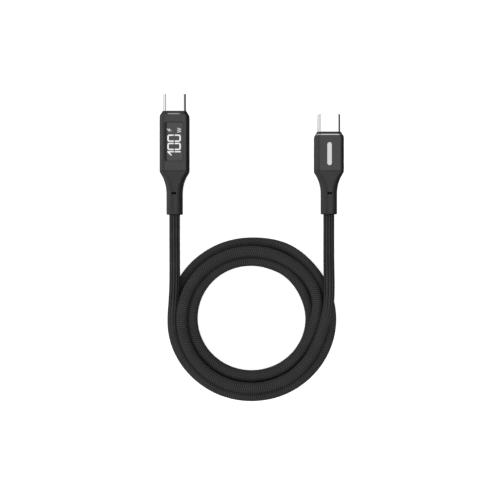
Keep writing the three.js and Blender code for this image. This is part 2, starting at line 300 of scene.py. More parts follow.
# ---------------------------------------------------------------- cord
# Centreline from the meter plug's strain relief, five and a half turns, to the second plug's strain relief.
ROUTE = np.array([
    (0.00, -21.93, 3.30), (0.00, -26.60, 3.30), (0.03, -31.25, 3.65), (0.12, -35.83, 4.54), (0.20, -40.42, 5.37),
    (0.22, -45.07, 5.81), (0.12, -49.73, 5.92), (-0.16, -54.39, 5.90), (-0.45, -59.05, 5.87), (-0.25, -63.71, 5.85),
    (0.77, -68.25, 5.85), (2.62, -72.53, 5.85), (5.20, -76.42, 5.85), (8.39, -79.82, 5.83), (12.08, -82.68, 5.80),
    (16.17, -84.91, 5.78), (20.58, -86.43, 5.81), (25.17, -87.22, 5.81), (29.84, -87.29, 5.76), (34.46, -86.64, 5.76),
    (38.91, -85.26, 5.80), (43.07, -83.15, 5.83), (46.84, -80.41, 5.83), (50.13, -77.10, 5.83), (52.82, -73.30, 5.84),
    (54.84, -69.09, 5.84), (56.12, -64.61, 5.83), (56.59, -59.97, 5.81), (56.21, -55.32, 5.83), (55.02, -50.81, 5.86),
    (53.08, -46.58, 5.91), (50.49, -42.70, 5.94), (47.38, -39.23, 5.83), (43.83, -36.25, 5.29), (39.87, -34.05, 4.19),
    (35.55, -32.76, 3.00), (30.99, -32.18, 2.24), (26.33, -32.16, 1.97), (21.71, -32.78, 1.95), (17.25, -34.13, 1.95),
    (13.06, -36.17, 1.95), (9.24, -38.85, 1.95), (5.91, -42.11, 1.95), (3.17, -45.89, 1.95), (1.11, -50.07, 1.95),
    (-0.18, -54.55, 1.95), (-0.68, -59.19, 1.95), (-0.35, -63.84, 1.95), (0.78, -68.36, 1.95), (2.69, -72.62, 1.95),
    (5.28, -76.49, 1.95), (8.49, -79.88, 1.95), (12.19, -82.71, 1.95), (16.31, -84.89, 1.95), (20.74, -86.35, 1.95),
    (25.34, -87.13, 1.95), (30.00, -87.22, 1.95), (34.61, -86.53, 1.95), (39.05, -85.09, 1.95), (43.21, -82.98, 1.95),
    (46.99, -80.25, 1.95), (50.26, -76.93, 1.95), (52.94, -73.11, 1.95), (54.93, -68.90, 1.95), (56.17, -64.40, 1.95),
    (56.61, -59.76, 1.95), (56.27, -55.11, 1.95), (55.10, -50.59, 1.95), (53.04, -46.41, 1.99), (49.99, -42.91, 2.17),
    (46.09, -40.40, 2.56), (41.79, -38.66, 3.11), (37.41, -37.15, 3.65), (32.92, -35.88, 3.90), (28.30, -35.32, 3.95),
    (23.65, -35.68, 3.98), (19.14, -36.85, 3.96), (14.91, -38.82, 3.92), (11.13, -41.54, 3.90), (7.93, -44.94, 3.90),
    (5.44, -48.88, 3.90), (3.75, -53.22, 3.90), (2.93, -57.81, 3.90), (3.01, -62.47, 3.90), (3.99, -67.03, 3.90),
    (5.83, -71.31, 3.90), (8.45, -75.16, 3.90), (11.78, -78.43, 3.92), (15.66, -81.01, 3.94), (19.96, -82.83, 3.92),
    (24.51, -83.85, 3.91), (29.16, -84.05, 3.95), (33.78, -83.42, 3.95), (38.22, -81.98, 3.91), (42.31, -79.76, 3.90),
    (45.92, -76.80, 3.91), (48.89, -73.21, 3.91), (51.13, -69.12, 3.90), (52.60, -64.69, 3.86), (53.22, -60.07, 3.80),
    (52.84, -55.43, 3.71), (51.25, -51.07, 3.40), (48.38, -47.45, 2.86), (44.70, -44.63, 2.35), (40.66, -42.31, 2.05),
    (36.41, -40.39, 1.95), (31.95, -39.04, 1.95), (27.31, -38.56, 1.95), (22.69, -39.13, 1.95), (18.31, -40.71, 1.95),
    (14.36, -43.19, 1.95), (11.05, -46.47, 1.95), (8.54, -50.40, 1.95), (6.95, -54.78, 1.95), (6.37, -59.40, 1.95),
    (6.84, -64.03, 1.95), (8.36, -68.44, 1.95), (10.82, -72.39, 1.95), (14.10, -75.70, 1.95), (18.02, -78.23, 1.95),
    (22.38, -79.86, 1.95), (26.99, -80.55, 1.95), (31.65, -80.26, 1.95), (36.14, -79.01, 1.95), (40.27, -76.85, 1.95),
    (43.84, -73.86, 1.95), (46.67, -70.16, 1.95), (48.60, -65.92, 1.96), (49.48, -61.35, 2.23), (49.23, -56.80, 3.14),
    (47.99, -52.52, 4.52), (45.99, -48.45, 5.61), (43.18, -44.76, 5.98), (39.56, -41.82, 5.99), (35.36, -39.82, 5.94),
    (30.82, -38.76, 5.93), (26.16, -38.63, 5.89), (21.57, -39.45, 5.86), (17.27, -41.25, 5.85), (13.47, -43.94, 5.85),
    (10.34, -47.39, 5.85), (8.04, -51.45, 5.85), (6.70, -55.91, 5.85), (6.39, -60.56, 5.85), (7.14, -65.16, 5.85),
    (8.93, -69.46, 5.85), (11.64, -73.24, 5.85), (15.13, -76.33, 5.85), (19.20, -78.60, 5.85), (23.66, -79.96, 5.85),
    (28.30, -80.37, 5.85), (32.93, -79.82, 5.85), (37.34, -78.31, 5.84), (41.32, -75.88, 5.82), (44.68, -72.66, 5.80),
    (47.33, -68.82, 5.88), (49.37, -64.64, 6.18), (50.87, -60.26, 6.75), (51.65, -55.70, 7.33), (51.19, -51.09, 7.69),
    (49.36, -46.81, 7.83), (46.52, -43.12, 7.84), (42.99, -40.07, 7.82), (38.96, -37.72, 7.82), (34.58, -36.13, 7.81),
    (29.98, -35.35, 7.80), (25.32, -35.40, 7.81), (20.74, -36.29, 7.81), (16.41, -38.00, 7.80), (12.45, -40.48, 7.80),
    (9.03, -43.64, 7.80), (6.27, -47.39, 7.80), (4.27, -51.61, 7.80), (3.13, -56.13, 7.80), (2.88, -60.78, 7.80),
    (3.53, -65.40, 7.80), (5.04, -69.81, 7.80), (7.37, -73.85, 7.80), (10.43, -77.36, 7.82), (14.11, -80.22, 7.87),
    (18.25, -82.37, 7.90), (22.70, -83.75, 7.91), (27.33, -84.28, 7.92), (31.98, -83.95, 7.93), (36.51, -82.82, 7.91),
    (40.75, -80.90, 7.86), (44.55, -78.19, 7.82), (47.76, -74.81, 7.76), (50.29, -70.89, 7.76), (52.20, -66.64, 7.94),
    (53.68, -62.24, 8.46), (54.82, -57.79, 9.23), (55.47, -53.21, 9.82), (55.63, -48.55, 9.94), (55.64, -43.92, 9.39),
    (55.70, -39.49, 7.94), (55.85, -35.31, 5.86), (56.00, -31.05, 3.98), (56.06, -26.45, 3.30), (56.06, -21.78, 3.30),
])


def spline_through(points, steps):
    """A natural cubic spline through the points, sampled evenly by its length."""
    d = np.r_[0, np.cumsum(np.linalg.norm(np.diff(points, axis=0), axis=1))]
    n, h = len(d), np.diff(d)
    a = np.zeros((n, n))
    rhs = np.zeros((n, 3))
    a[0, 0] = a[-1, -1] = 1
    for i in range(1, n - 1):
        a[i, i - 1], a[i, i], a[i, i + 1] = h[i - 1], 2 * (h[i - 1] + h[i]), h[i]
        rhs[i] = 6 * ((points[i + 1] - points[i]) / h[i] - (points[i] - points[i - 1]) / h[i - 1])
    m2 = np.linalg.solve(a, rhs)

    def at(t):
        i = np.clip(np.searchsorted(d, t, side="right") - 1, 0, n - 2)
        u = (t - d[i])[:, None]
        hi = h[i][:, None]
        p0, p1, q0, q1 = points[i], points[i + 1], m2[i], m2[i + 1]
        return p0 + u * ((p1 - p0) / hi - hi * (2 * q0 + q1) / 6) + u**2 * q0 / 2 + u**3 * (q1 - q0) / (6 * hi)

    t = np.linspace(0, d[-1], 20 * n)
    p = at(t)
    along = np.r_[0, np.cumsum(np.linalg.norm(np.diff(p, axis=0), axis=1))]
    return at(np.interp(np.linspace(0, along[-1], steps), along, t)), along[-1]


RIB_PITCH = 0.74  # each carrier's bundle comes to the surface once in this length
RINGS_PER_RIB = 3
SIDES = 24
CARRIERS = 12  # each way round; two over, two under, so the bundles lie in twelve columns along the cord

_, cord_mm = spline_through(ROUTE, 2000)
ring_count = int(cord_mm / RIB_PITCH * RINGS_PER_RIB) + 1
centre, cord_mm = spline_through(ROUTE, ring_count)
tangent = np.gradient(centre, axis=0)
tangent /= np.linalg.norm(tangent, axis=1)[:, None]
normal = np.zeros_like(centre)
normal[0] = (0, 0, 1)
for i in range(ring_count - 1):  # carry the first direction along without twist
    v = normal[i] - tangent[i + 1] * (normal[i] @ tangent[i + 1])
    normal[i + 1] = v / np.linalg.norm(v)
side = np.cross(tangent, normal)
s_mm = np.linspace(0, cord_mm, ring_count)
turn = (np.arange(SIDES) + 0.5) / SIDES
s_grid, turn_grid = np.meshgrid(s_mm, turn, indexing="ij")
coiled = np.clip((s_mm - 26) / 16, 0, 1) * np.clip((cord_mm - 27 - s_mm) / 14, 0, 1)
coiled = (coiled * coiled * (3 - 2 * coiled))[:, None]  # the columns flatten out where the cord is bent into the coil
column = np.cos(np.pi * (CARRIERS * turn_grid - 0.25))  # 1 and -1 in the middle of columns that slant either way
off_centre = CARRIERS * turn_grid - 0.25 - np.round(CARRIERS * turn_grid - 0.25)
rib = np.cos(2 * np.pi * (s_grid / RIB_PITCH + np.sign(column) * ((0.25 - 0.10 * coiled) + (1.0 - 0.65 * coiled) * off_centre)))
radius = JACKET_D / 2 + 0.015 + (0.030 - 0.021 * coiled) * (2 * np.abs(column) - 1) + 0.036 * rib * (np.abs(column) + 0.35 * coiled)
angle = 2 * np.pi * turn_grid
cord_points = (
    centre[:, None, :]
    + radius[:, :, None] * (np.cos(angle)[:, :, None] * normal[:, None, :] + np.sin(angle)[:, :, None] * side[:, None, :])
)
cord_points[:, :, 2] = np.maximum(cord_points[:, :, 2], 0.0)
ring_i, side_i = np.meshgrid(np.arange(ring_count - 1), np.arange(SIDES), indexing="ij")
next_side = (side_i + 1) % SIDES
quads = np.stack([ring_i * SIDES + side_i, ring_i * SIDES + next_side, (ring_i + 1) * SIDES + next_side, (ring_i + 1) * SIDES + side_i], -1).reshape(-1, 4)
me = bpy.data.meshes.new("braided_cord")
me.vertices.add(ring_count * SIDES)
me.vertices.foreach_set("co", (cord_points * MM).astype(np.float32).ravel())
me.loops.add(len(quads) * 4 + 2 * SIDES)
loop_vertex = np.r_[quads.ravel(), np.arange(SIDES)[::-1], (ring_count - 1) * SIDES + np.arange(SIDES)]
me.loops.foreach_set("vertex_index", loop_vertex.astype(np.int32))
me.polygons.add(len(quads) + 2)
me.polygons.foreach_set("loop_start", np.r_[np.arange(len(quads)) * 4, len(quads) * 4, len(quads) * 4 + SIDES].astype(np.int32))
me.polygons.foreach_set("loop_total", np.r_[np.full(len(quads), 4), SIDES, SIDES].astype(np.int32))
lay_uv = me.uv_layers.new(name="along_and_round")  # millimetres along, turns round
quad_uv = np.stack([
    np.stack([s_mm[ring_i], (side_i + 0.5) / SIDES], -1), np.stack([s_mm[ring_i], (side_i + 1.5) / SIDES], -1),
    np.stack([s_mm[ring_i + 1], (side_i + 1.5) / SIDES], -1), np.stack([s_mm[ring_i + 1], (side_i + 0.5) / SIDES], -1),
], 2).reshape(-1, 2)
cap_uv = np.zeros((2 * SIDES, 2))
lay_uv.data.foreach_set("uv", np.r_[quad_uv, cap_uv].astype(np.float32).ravel())
me.update(calc_edges=True)
me.validate()
me.polygons.foreach_set("use_smooth", [True] * len(me.polygons))
cord = bpy.data.objects.new("braided_cord", me)
bpy.context.scene.collection.objects.link(cord)
import bmesh

bm = bmesh.new()
bm.from_mesh(me)
turned = bm.calc_volume(signed=True) < 0
if turned:
    bmesh.ops.reverse_faces(bm, faces=bm.faces)
    bm.to_mesh(me)
bm.free()

braid = Mat("braided_nylon", Specular_IOR_Level=0.2, Metallic=0.0)
uvn = braid.node("ShaderNodeUVMap", uv_map="along_and_round")
uvx = braid.xyz(uvn.outputs[0])
a_long = braid.math("DIVIDE", uvx[0], RIB_PITCH)
a_round = braid.math("MULTIPLY", uvx[1], float(CARRIERS))
bent = braid.math("MULTIPLY", braid.spread(uvx[0], 26, 42, 0.0, 1.0, smooth=True), braid.spread(uvx[0], cord_mm - 41, cord_mm - 27, 1.0, 0.0, smooth=True))
place = braid.math("SUBTRACT", a_round, 0.25)
number = braid.math("ROUND", place)
off = braid.math("SUBTRACT", place, number)
hand = braid.math("SUBTRACT", 1.0, braid.math("MULTIPLY", braid.math("FLOORED_MODULO", number, 2.0), 2.0))  # 1 or -1: which way the bundles in this column slant
lean = braid.math("ADD", braid.math("SUBTRACT", 0.25, braid.math("MULTIPLY", bent, 0.10)), braid.math("MULTIPLY", off, braid.math("SUBTRACT", 1.0, braid.math("MULTIPLY", bent, 0.65))))
phase = braid.math("ADD", a_long, braid.math("MULTIPLY", hand, lean))
across = braid.math("SUBTRACT", phase, braid.math("ROUND", phase))
crown = braid.math("ABSOLUTE", braid.math("COSINE", braid.math("MULTIPLY", off, math.pi)))
ridge = braid.math("COSINE", braid.math("MULTIPLY", across, math.pi))
columns = braid.math("POWER", crown, braid.math("SUBTRACT", 0.85, braid.math("MULTIPLY", bent, 0.75)))
bulge = braid.math("MULTIPLY", ridge, columns)
ends = braid.math("COSINE", braid.math("MULTIPLY", across, 2 * math.pi * 3.0))  # three yarns lie side by side in each bundle
fuzz = braid.noise(braid.coords(), 1000 / 0.07, 2.0, 0.6)
patch = braid.noise(braid.coords(), 1000 / 6.0, 2.0, 0.5)
height = braid.math("ADD", braid.math("ADD", bulge, braid.math("MULTIPLY", ends, 0.10)), braid.math("MULTIPLY", fuzz, 0.30))
# Colour: lighter on the bundles' crowns and darker between the bundles and between the yarns, a painted shade in the
# grooves; fuzz and patches add random tone. Where the cord is bent into the coil the painted groove shade is lifted and
# the whole colour made a little darker.
tone_with_painted_shade = braid.math("ADD", braid.math("MULTIPLY", bulge, 0.85), braid.math("ADD", braid.math("MULTIPLY", ends, 0.05), braid.math("MULTIPLY", fuzz, 0.2)))
tone_with_painted_shade = braid.math("ADD", tone_with_painted_shade, braid.math("MULTIPLY", braid.math("SUBTRACT", patch, 0.5), 0.25))
tone_with_painted_shade = braid.math("MULTIPLY", braid.math("ADD", tone_with_painted_shade, braid.math("MULTIPLY", bent, 0.25)), braid.math("SUBTRACT", 1.0, braid.math("MULTIPLY", bent, 0.38)))
braid.link(braid.mix(braid.spread(tone_with_painted_shade, 0.3, 1.0, 0.0, 1.0), grey(0.004), grey(0.078)), braid.b.inputs["Base Color"])
braid.link(braid.spread(tone_with_painted_shade, 0.3, 1.0, 0.92, 0.7), braid.b.inputs["Roughness"])
braid.bump(height, 0.035 * MM)
cord.data.materials.append(braid.m)
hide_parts("cable_coil", "cable_tail_meter", "cable_tail_far")
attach(cord, "cord")

# ---------------------------------------------------------------- materials
blasted = moulded("blasted_anodised_aluminium", grey(0.057), grey(0.080), rough=(0.36, 0.46), spec=0.3, grain=0.16, depth=0.003, metallic=0.9)
cut_edge = drawn("diamond_cut_edge", (0.57, 0.57, 0.58), (0.72, 0.72, 0.73), rough=(0.22, 0.34), streak=(0.05, 1, 1), pitch=0.06)
# painted highlight: a bright metal bar that stands in for the light caught on the meter plug's front bevel
bevel_painted_highlight = drawn("bevel_painted_highlight", (0.34, 0.34, 0.35), (0.44, 0.44, 0.45), rough=(0.25, 0.38), streak=(0.05, 1, 1), pitch=0.06)
inner_metal = drawn("raw_aluminium_inside", grey(0.42), grey(0.55), rough=(0.3, 0.45))
tpe = moulded("matte_thermoplastic", grey(0.0112), grey(0.0160), rough=(0.42, 0.54), spec=0.5, grain=0.12, depth=0.0025)
steel = drawn("polished_stainless", (0.84, 0.85, 0.86), (0.93, 0.94, 0.95), rough=(0.05, 0.11), depth=0.0004)
spring = drawn("spring_steel", (0.45, 0.46, 0.48), (0.62, 0.63, 0.65), rough=(0.24, 0.36))
gold = drawn("gold_plated_contacts", (0.74, 0.50, 0.16), (0.90, 0.66, 0.28), rough=(0.18, 0.3))
carrier_black = moulded("contact_carrier_black", grey(0.010), grey(0.018), rough=(0.35, 0.5), spec=0.45, grain=0.2)
natural = moulded("natural_nylon", (0.62, 0.58, 0.49), (0.72, 0.69, 0.60), rough=(0.4, 0.55), spec=0.45, grain=0.3)
chip = moulded("chip_epoxy", grey(0.012), grey(0.022), rough=(0.4, 0.55), spec=0.45, grain=0.08)
ceramic = moulded("ceramic_tan", (0.36, 0.25, 0.13), (0.48, 0.35, 0.20), rough=(0.35, 0.5), spec=0.5, grain=0.1)
copper = drawn("crimped_copper", (0.66, 0.38, 0.22), (0.80, 0.50, 0.32), rough=(0.25, 0.4))
module_black = moulded("display_module", grey(0.008), grey(0.014), rough=(0.25, 0.4), spec=0.5, grain=0.3)
silver = drawn("brushed_badge", (0.56, 0.57, 0.58), (0.68, 0.69, 0.70), rough=(0.28, 0.42), pitch=0.05, depth=0.0012)


def insulated(name, low, high):
    return moulded(name, low, high, rough=(0.35, 0.5), spec=0.5, grain=0.25, depth=0.004)


red = insulated("core_red", (0.36, 0.015, 0.012), (0.46, 0.03, 0.025))
black = insulated("core_black", grey(0.010), grey(0.018))
blue = insulated("core_blue", (0.02, 0.06, 0.27), (0.04, 0.10, 0.36))
green = insulated("core_green", (0.02, 0.16, 0.04), (0.04, 0.24, 0.07))
white = insulated("core_white", (0.68, 0.67, 0.63), (0.80, 0.79, 0.75))

# painted shade: near-black, dull colour for the insides of the boot's pockets, where shade falls
pocket_painted_shade = moulded("boot_pocket_painted_shade", grey(0.0015), grey(0.003), rough=(0.85, 0.95), spec=0.05, grain=0.2)

# Circuit board: solder mask, darker where it lies over laminate and lighter over the copper tracks below it.
board = Mat("circuit_board", Metallic=0.0, Specular_IOR_Level=0.5)
bx = board.xyz(board.coords())
tracks = board.math("COSINE", board.math("MULTIPLY", board.math("ADD", bx[0], board.math("MULTIPLY", board.noise(board.coords((1, 0.2, 1)), 1000 / 2.0), 0.0012)), 2 * math.pi / 0.0009))
over = board.spread(tracks, 0.1, 0.3, 0.0, 1.0, smooth=True)
board.link(board.mix(over, (0.010, 0.075, 0.030), (0.022, 0.140, 0.058)), board.b.inputs["Base Color"])
board.link(board.spread(board.noise(board.coords(), 1000 / 0.5), 0.3, 0.7, 0.28, 0.42), board.b.inputs["Roughness"])
board.bump(over, 0.02 * MM)

# Smoked window: fine speckle of the diffuser under it, and a painted shadow along its left side: a near-black strip
# where the window's left rim would shade it.
smoke = Mat("smoked_window", Metallic=0.0, Specular_IOR_Level=0.35)
sv = smoke.coords()
sx = smoke.xyz(sv)
speck = smoke.noise(sv, 1000 / 0.42, 3.0, 0.75)
fine = smoke.noise(sv, 1000 / 0.16, 1.0, 0.5)
base = smoke.mix(smoke.spread(smoke.math("ADD", smoke.math("MULTIPLY", speck, 0.7), smoke.math("MULTIPLY", fine, 0.3)), 0.33, 0.67, 0.0, 1.0), grey(0.027), grey(0.090))
# painted shadow: the window's colour goes near-black along its left side, below x = -2.46 mm, where the rim's shade
# falls
left_rim_painted_shadow = smoke.spread(sx[0], -2.66 * MM, -2.46 * MM, 0.0, 1.0, smooth=True)
smoke.link(smoke.mix(left_rim_painted_shadow, grey(0.004), base), smoke.b.inputs["Base Color"])
smoke.link(smoke.spread(speck, 0.3, 0.7, 0.3, 0.42), smoke.b.inputs["Roughness"])

# Lit figures: white light that is a little uneven over each segment.
lit = Mat("lit_figures", Metallic=0.0, Specular_IOR_Level=0.2, Roughness=0.5, Emission_Strength=0.86)
glow = lit.mix(lit.spread(lit.noise(lit.coords(), 1000 / 0.7), 0.35, 0.65, 0.0, 1.0), (0.86, 0.87, 0.88), (1.0, 1.0, 1.0))
lit.link(glow, lit.b.inputs["Emission Color"])
lit.link(lit.mix(lit.spread(lit.noise(lit.coords(), 1000 / 0.7), 0.35, 0.65, 0.0, 1.0), (0.05, 0.05, 0.05), (0.07, 0.07, 0.07)), lit.b.inputs["Base Color"])
faint = Mat("lit_figures_small", Metallic=0.0, Specular_IOR_Level=0.2, Roughness=0.5, Emission_Strength=0.62)
faint.link(faint.mix(faint.spread(faint.noise(faint.coords(), 1000 / 0.5), 0.35, 0.65, 0.0, 1.0), (0.74, 0.75, 0.76), (0.92, 0.93, 0.94)), faint.b.inputs["Emission Color"])
faint.link(faint.mix(faint.spread(faint.noise(faint.coords(), 1000 / 0.5), 0.35, 0.65, 0.0, 1.0), (0.05, 0.05, 0.05), (0.07, 0.07, 0.07)), faint.b.inputs["Base Color"])

# ---------------------------------------------------------------- plugs
def housing(plug, meter):
    f = plug["front"]
    extra = (-2.26, 2.03)
    o = lambda w, h, r: outline(w, h, r, 12, extra)
    full = o(HOUSING_W, HOUSING_H, HOUSING_R)
    rear = 1.36 if meter else 1.29  # the bright finish starts here, part of the way down the first bevel: the cut edge on the plain plug, the painted highlight bar on the meter plug
    part = (1.52 - rear) / 0.60
    nose = [
        (f - 2.4, full),
        (f - 2.0, o(HOUSING_W - 0.03, HOUSING_H, HOUSING_R)),
        (f - 1.52, o(HOUSING_W - 0.13, HOUSING_H, HOUSING_R)),
        (f - rear, o(HOUSING_W - 0.13 - 0.75 * part, HOUSING_H - 0.5 * part, HOUSING_R - 0.1 * part)),
        (f - 0.92, o(HOUSING_W - 0.88, HOUSING_H - 0.5, HOUSING_R - 0.1)),
        (f - 0.38, o(HOUSING_W - 1.6, HOUSING_H - 1.15, HOUSING_R - 0.3)),
        (f - 0.06, o(HOUSING_W - 1.79, HOUSING_H - 1.74, HOUSING_R - 0.43)),
        (f, o(HOUSING_W - 1.87, HOUSING_H - 1.8, HOUSING_R - 0.45)),
    ]
    sections = [(0, o(HOUSING_W - 0.14, HOUSING_H - 0.14, HOUSING_R - 0.07)), (0.07, full), (0.14, full), (f - 2.5, full), *nose]
    body = along_y(plug["prefix"] + "_sleeve", plug, sections)
    # faces of the nose's first bevel get the bright finish: all round on the plain plug the cut edge, and on the meter
    # plug a short bar across the top, a painted highlight where the bevel would catch the light
    for p in body.data.polygons:
        c = p.center / MM
        y = c.y - REAR_Y
        if f - rear < y < f - 0.93 and len(p.vertices) == 4:
            if not meter:
                p.material_index = 1
            # meter plug: the painted highlight bar, on the top only, between x -2.26 and 2.03 mm
            elif -2.26 < c.x - plug["x"] < 2.03 and c.z > PLUG_Z:
                p.material_index = 1
    hollow = along_y("hollow", plug, [(-1, outline(HOUSING_W - 2 * WALL, HOUSING_H - 2 * WALL, HOUSING_R - WALL * 0.6, 10)), (f - FRONT_WALL, outline(HOUSING_W - 2 * WALL, HOUSING_H - 2 * WALL, HOUSING_R - WALL * 0.6, 10))])
    mw, mh = SHELL_W + 0.4, SHELL_H + 0.4
    mouth = along_y("mouth", plug, [(f - 3, outline(mw, mh, mh / 2, 12)), (f - 0.16, outline(mw, mh, mh / 2, 12)), (f + 0.24, outline(mw + 0.8, mh + 0.8, mh / 2 + 0.4, 12))])
    cutters = [hollow, mouth]
    top = PLUG_Z + HOUSING_H / 2
    if meter:
        wy = REAR_Y + 3.4 + 7.05
        w = lambda grow: outline(6.6 + grow, 14.1 + grow, 0.7 + grow / 2, 8)
        cutters.append(along_z("window", 0, wy, [(top - 1.3, w(0)), (top - 0.09, w(0)), (top + 0.21, w(0.6))]))
    else:
        b = lambda grow: outline(1.82 + grow, 8.4 + grow, 0.91 + grow / 2, 12)
        cutters.append(along_z("recess", plug["x"], REAR_Y + 6.05, [(top - 0.25, b(0)), (top - 0.05, b(0)), (top + 0.25, b(0.6))]))
    carve(body, *cutters)
    wear(body, blasted, bevel_painted_highlight if meter else cut_edge)
    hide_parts(plug["prefix"] + "_housing")
    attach(body, plug["prefix"] + "_plug")
    return body


def tongue(plug):
    """Drawn tube with a rolled front lip and a small inner lead-in."""
    y0, y1 = plug["front"] - SHELL_IN, plug["front"] + plug["out"]
    ring = lambda inset: outline(SHELL_W - 2 * inset, SHELL_H - 2 * inset, SHELL_H / 2 - inset, 20)
    sections = [(y0, 0.0), (y0 + 0.1, 0.0), (y1 - 0.34, 0.0), (y1 - 0.24, 0.0)]
    for a in (20, 40, 60, 75, 90):
        r = math.radians(a)
        sections.append((y1 - 0.24 + 0.24 * math.sin(r), 0.12 * (1 - math.cos(r))))
    sections += [(y1 - 0.02, 0.16), (y1 - 0.08, 0.2), (y1 - 0.18, 0.2), (y0 + 0.1, 0.2), (y0, 0.2)]
    o = along_y(plug["prefix"] + "_tongue", plug, [(y, ring(i)) for y, i in sections], closed=True, sharp_deg=32)
    wear(o, steel)
    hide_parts(plug["prefix"] + "_plug_shell")
    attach(o, plug["prefix"] + "_plug")
    return o


BOOT = [[0, 10.73], [-0.25, 10.73], [-1.1, 9.85], [-2.2, 8.65], [-3.3, 7.72], [-4.4, 7.0], [-5.5, 6.48], [-6.6, 6.15], [-7.6, 6.0], [-9, SLEEVE_D]]


def boot_width(y):
    """The boot's width at y behind the housing, on a smooth line through BOOT."""
    ys = np.array([p[0] for p in BOOT])[::-1]
    ws = np.array([p[1] for p in BOOT])[::-1]
    slope = np.gradient(ws, ys)
    slope[0] = slope[-1] = 0.0
    i = int(np.clip(np.searchsorted(ys, y, side="right") - 1, 0, len(ys) - 2))
    h = ys[i + 1] - ys[i]
    t = float(np.clip((y - ys[i]) / h, 0, 1))
    return float(
        (2 * t**3 - 3 * t**2 + 1) * ws[i] + (t**3 - 2 * t**2 + t) * h * slope[i]
        + (3 * t**2 - 2 * t**3) * ws[i + 1] + (t**3 - t**2) * h * slope[i + 1]
    )


def boot(plug):
    """Moulded strain relief: spigot in the housing, flared shoulder, round sleeve with a soft end and a bored mouth."""
    length = plug["relief"]

    def section(width, inset=0.0):
        s = (width - SLEEVE_D) / (HOUSING_W - SLEEVE_D)
        h = SLEEVE_D + (HOUSING_H - SLEEVE_D) * s
        r = SLEEVE_D / 2 - 0.014 + (HOUSING_R - SLEEVE_D / 2 + 0.014) * s
        return outline(width - 2 * inset, h - 2 * inset, r - inset, 12)

    sections = [(0.66, outline(9.3, 5.15, 1.55, 12)), (0.6, outline(9.4, 5.25, 1.6, 12)), (0.0, outline(9.4, 5.25, 1.6, 12)), (-0.001, section(10.73, 0.1)), (-0.1, section(10.73, 0.02))]
    for y in np.r_[np.arange(-0.3, -9.0, -0.3), -9.0]:
        sections.append((float(y), section(min(10.69, boot_width(float(y))))))
    for y in np.linspace(-9.6, -length + 0.3, 12):
        sections.append((float(y), section(SLEEVE_D)))
    for a in (0, 22, 45, 67, 90):
        r = math.radians(a)
        sections.append((-length + 0.26 - 0.26 * math.sin(r), section(SLEEVE_D, 0.26 * (1 - math.cos(r)))))
    bore = JACKET_D + 0.12
    circle = lambda d: outline(d, d, d / 2 - 0.014, 12)
    sections += [(-length, circle(bore + 0.3)), (-length + 0.15, circle(bore)), (-length + 5.2, circle(bore)), (-length + 5.3, circle(bore - 0.3))]
    o = along_y(plug["prefix"] + "_boot", plug, sections, sharp_deg=40)
    cutters = []
    for z in (1, -1):
        for x in (-0.5, 0.34) if plug is METER else (-0.34, 0.5):
            pocket = outline(0.74, 0.9, 0.16, 4)
            depth = [(PLUG_Z + 2.12, 0), (PLUG_Z + 4, 0)] if z > 0 else [(PLUG_Z - 4, 0), (PLUG_Z - 2.12, 0)]
            cutters.append(along_z("pocket", plug["x"] + x, REAR_Y - 8.15, [(d, pocket) for d, _ in depth]))
    carve(o, *cutters, sharp_deg=40)
    # painted shade: the pockets' walls and floors found below get the near-black slot
    for p in o.data.polygons:  # the pockets' walls and floors
        c, upright = p.center / MM, abs(p.normal.z)
        deep = abs(abs(c.z - PLUG_Z) - 2.12) < 0.03
        if abs(c.x - plug["x"]) < 0.95 and REAR_Y - 8.62 < c.y < REAR_Y - 7.68 and (deep or (upright < 0.3 and 2.05 < abs(c.z - PLUG_Z) < 2.95)):
            p.material_index = 1
    wear(o, tpe, pocket_painted_shade)
    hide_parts(plug["prefix"] + "_strain_relief")
    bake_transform(o)
    return o


def jacket_end(plug):
    """The cord's own jacket inside the boot, from the crimp to the sleeve's mouth."""
    length = plug["relief"]
    sections = []
    for y in np.linspace(-3.05, -length - 0.1, 40):
        sections.append((float(y), outline(JACKET_D - 0.14, JACKET_D - 0.14, (JACKET_D - 0.14) / 2 - 0.014, 8)))
    o = along_y(plug["prefix"] + "_jacket_end", plug, sections, sharp_deg=40)
    wear(o, tpe_jacket)
    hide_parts(plug["prefix"] + "_cable_end")
    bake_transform(o)
    return o


tpe_jacket = moulded("nylon_over_jacket", grey(0.012), grey(0.03), rough=(0.7, 0.85), spec=0.22, grain=0.3, depth=0.01)

for plug, meter in ((METER, True), (FAR, False)):
    housing(plug, meter)
    tongue(plug)
    boot(plug)
    jacket_end(plug)

# Badge: a plain pill with a softened rim, sunk in the second plug's top.
top = PLUG_Z + HOUSING_H / 2
pill = lambda inset: outline(1.72 - 2 * inset, 8.3 - 2 * inset, 0.86 - inset, 12)
badge = along_z("badge_pill", FAR_X, REAR_Y + 6.05, [(top - 0.23, pill(0.0)), (top - 0.04, pill(0.0)), (top - 0.01, pill(0.02)), (top + 0.012, pill(0.06)), (top + 0.02, pill(0.12)), (top + 0.02, pill(0.2))], sharp_deg=20)
wear(badge, silver)
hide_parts("far_badge")
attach(badge, "far_plug")

# Window over the display, with a softened rim.
lens_y = REAR_Y + 3.4 + 7.05
pane = lambda inset: outline(6.5 - 2 * inset, 14.0 - 2 * inset, 0.65 - inset, 8)
lens = along_z("display_window", 0, lens_y, [(PLUG_Z + 2.3, pane(0)), (PLUG_Z + 2.89, pane(0)), (PLUG_Z + 2.935, pane(0.02)), (PLUG_Z + 2.95, pane(0.06)), (PLUG_Z + 2.95, pane(0.12))], sharp_deg=20)
wear(lens, smoke.m)
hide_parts("meter_display_lens")
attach(lens, "meter_plug")


